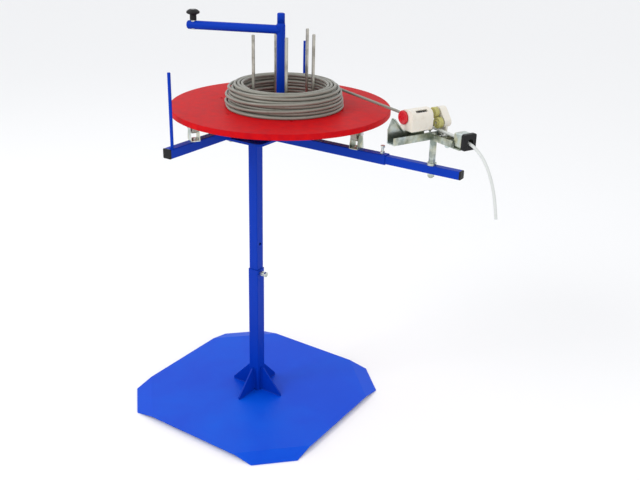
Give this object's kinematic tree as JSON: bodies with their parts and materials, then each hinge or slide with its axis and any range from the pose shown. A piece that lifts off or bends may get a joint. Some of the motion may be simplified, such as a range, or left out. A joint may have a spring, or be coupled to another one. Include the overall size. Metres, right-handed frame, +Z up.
{
  "type": "cable coiling turntable",
  "caption": "Hand-cranked turntable on an adjustable pedestal stand that winds cable into rings, with a length-measuring head on a telescopic arm.",
  "frame": {"origin": "on the floor, under the middle of the post", "axes": "+X along the main beam towards the measuring head, +Y along the cross bar, +Z up"},
  "size_m": [1.2597, 0.73, 1.3872],
  "materials": {
    "blue_paint": "gloss",
    "zinc_fastener": "bright zinc plated",
    "zinc_plate": "yellowish bright zinc plated",
    "steel": "turned",
    "pin_steel": "drawn, dull grey",
    "roller_steel": "turned",
    "castor_tread": "satin, warm grey",
    "red_disc": "gloss red film on board",
    "black_plastic": "matte",
    "cream_case": "satin",
    "drum_black": "satin",
    "red_knob": "gloss",
    "olive_tyre": "translucent satin",
    "grey_cable": "satin",
    "pale_cable": "satin"
  },
  "bodies": {
    "stand": {"base_plate": "blue_paint", "lower_post": "blue_paint", "post_gussets": "blue_paint", "height_lock": "zinc_fastener"},
    "mast": {"upper_post": "blue_paint", "head_plate": "blue_paint", "cross_bar": "blue_paint", "main_beam": "blue_paint", "head_bolts": "zinc_fastener", "cross_bar_caps": "black_plastic", "guard_bars": "blue_paint", "castor_brackets": "zinc_plate", "castor_axles": "steel", "arm_screws": "zinc_fastener", "bearing_housing": "blue_paint", "outer_rings_and_balls": "steel", "extension_lock": "zinc_fastener", "cable_run": "grey_cable"},
    "turntable": {"turntable_disc": "red_disc", "hub_flange": "steel", "hub_collar": "steel", "hub_bolts": "zinc_fastener", "winding_pins": "pin_steel", "pin_nuts": "zinc_fastener", "spindle": "steel", "drive_pin": "steel", "bearing_inner_rings": "steel", "cable_coil": "grey_cable"},
    "castor_right": {"castor_wheel_right": "castor_tread"},
    "castor_left": {"castor_wheel_left": "castor_tread"},
    "castor_rear": {"castor_wheel_rear": "castor_tread"},
    "crank": {"crank_sleeve": "blue_paint", "crank_arm": "blue_paint", "crank_arm_plug": "black_plastic", "knob_pin": "steel"},
    "knob": {"crank_knob": "black_plastic"},
    "extension": {"extension_tube": "blue_paint", "extension_cap": "black_plastic", "meter_post": "zinc_plate", "meter_post_bolt": "zinc_fastener", "cable_lead": "grey_cable"},
    "meter_head": {"meter_frame": "zinc_plate", "end_gusset": "zinc_plate", "counter_bracket": "zinc_plate", "counter_case": "cream_case", "slow_drums": "drum_black", "roller_pins": "steel", "roller_block": "cream_case", "outlet_tube": "zinc_plate", "outlet_cap": "black_plastic", "inlet_eye": "zinc_plate", "cable_tail": "pale_cable"},
    "measuring_wheel": {"measuring_wheel": "olive_tyre"},
    "counter_drive": {"counter_wheel": "olive_tyre", "counter_shaft": "steel", "units_drum": "drum_black"},
    "support_roller": {"support_roller": "roller_steel"},
    "reset_knob": {"reset_knob": "red_knob"},
    "wing_screw": {"outlet_wing_screw": "zinc_plate"}
  },
  "joints": [
    {"name": "height_slide", "type": "slide", "parent": "stand", "child": "mast", "axis": [0, 0, 1], "range_m": [-0.3, 0.08]},
    {"name": "turntable_spin", "type": "hinge", "parent": "mast", "child": "turntable", "pos_m": [0.102, 0, 1.097], "axis": [0, 0, 1], "continuous": true},
    {"name": "castor_right_roll", "type": "hinge", "parent": "mast", "child": "castor_right", "pos_m": [0.388, 0, 1.0627], "axis": [1, 0, 0], "continuous": true},
    {"name": "castor_left_roll", "type": "hinge", "parent": "mast", "child": "castor_left", "pos_m": [-0.054, -0.23971, 1.0627], "axis": [-0.5455, -0.8381, 0], "continuous": true},
    {"name": "castor_rear_roll", "type": "hinge", "parent": "mast", "child": "castor_rear", "pos_m": [-0.054, 0.23971, 1.0627], "axis": [-0.5455, 0.8381, 0], "continuous": true},
    {"name": "crank_lift", "type": "slide", "parent": "turntable", "child": "crank", "axis": [0, 0, 1], "range_m": [0, 0.25]},
    {"name": "knob_spin", "type": "hinge", "parent": "crank", "child": "knob", "pos_m": [-0.15723, -0.10844, 1.354], "axis": [0, 0, 1], "continuous": true},
    {"name": "extension_slide", "type": "slide", "parent": "mast", "child": "extension", "axis": [1, 0, 0], "range_m": [-0.05, 0.1], "deforming": ["cable_run"]},
    {"name": "meter_swivel", "type": "hinge", "parent": "extension", "child": "meter_head", "pos_m": [0.644, 0, 1.0896], "axis": [0, 0, 1], "range_deg": [-25, 25], "deforming": ["cable_lead"]},
    {"name": "measuring_wheel_roll", "type": "hinge", "parent": "meter_head", "child": "measuring_wheel", "pos_m": [0.65007, 0.01046, 1.137], "axis": [0.3907, 0.9205, 0], "continuous": true},
    {"name": "counter_drive_roll", "type": "hinge", "parent": "meter_head", "child": "counter_drive", "pos_m": [0.6312, 0.01847, 1.1615], "axis": [0.3907, 0.9205, 0], "continuous": true},
    {"name": "support_roller_roll", "type": "hinge", "parent": "meter_head", "child": "support_roller", "pos_m": [0.66887, 0.00357, 1.1031], "axis": [0.3907, 0.9205, 0], "continuous": true},
    {"name": "reset_turn", "type": "hinge", "parent": "meter_head", "child": "reset_knob", "pos_m": [0.57938, -0.07034, 1.157], "axis": [0.3907, 0.9205, 0], "continuous": true},
    {"name": "wing_screw_turn", "type": "hinge", "parent": "meter_head", "child": "wing_screw", "pos_m": [0.70431, -0.01148, 1.0896], "axis": [0, 0, 1], "continuous": true}
  ],
  "couplings": [
    {"joint": "castor_right_roll", "follows": "turntable_spin", "ratio": -11.44},
    {"joint": "castor_left_roll", "follows": "turntable_spin", "ratio": -11.44},
    {"joint": "castor_rear_roll", "follows": "turntable_spin", "ratio": -11.44},
    {"joint": "measuring_wheel_roll", "follows": "turntable_spin", "ratio": 12.58},
    {"joint": "counter_drive_roll", "follows": "turntable_spin", "ratio": -12.58},
    {"joint": "support_roller_roll", "follows": "turntable_spin", "ratio": -25.06}
  ]
}
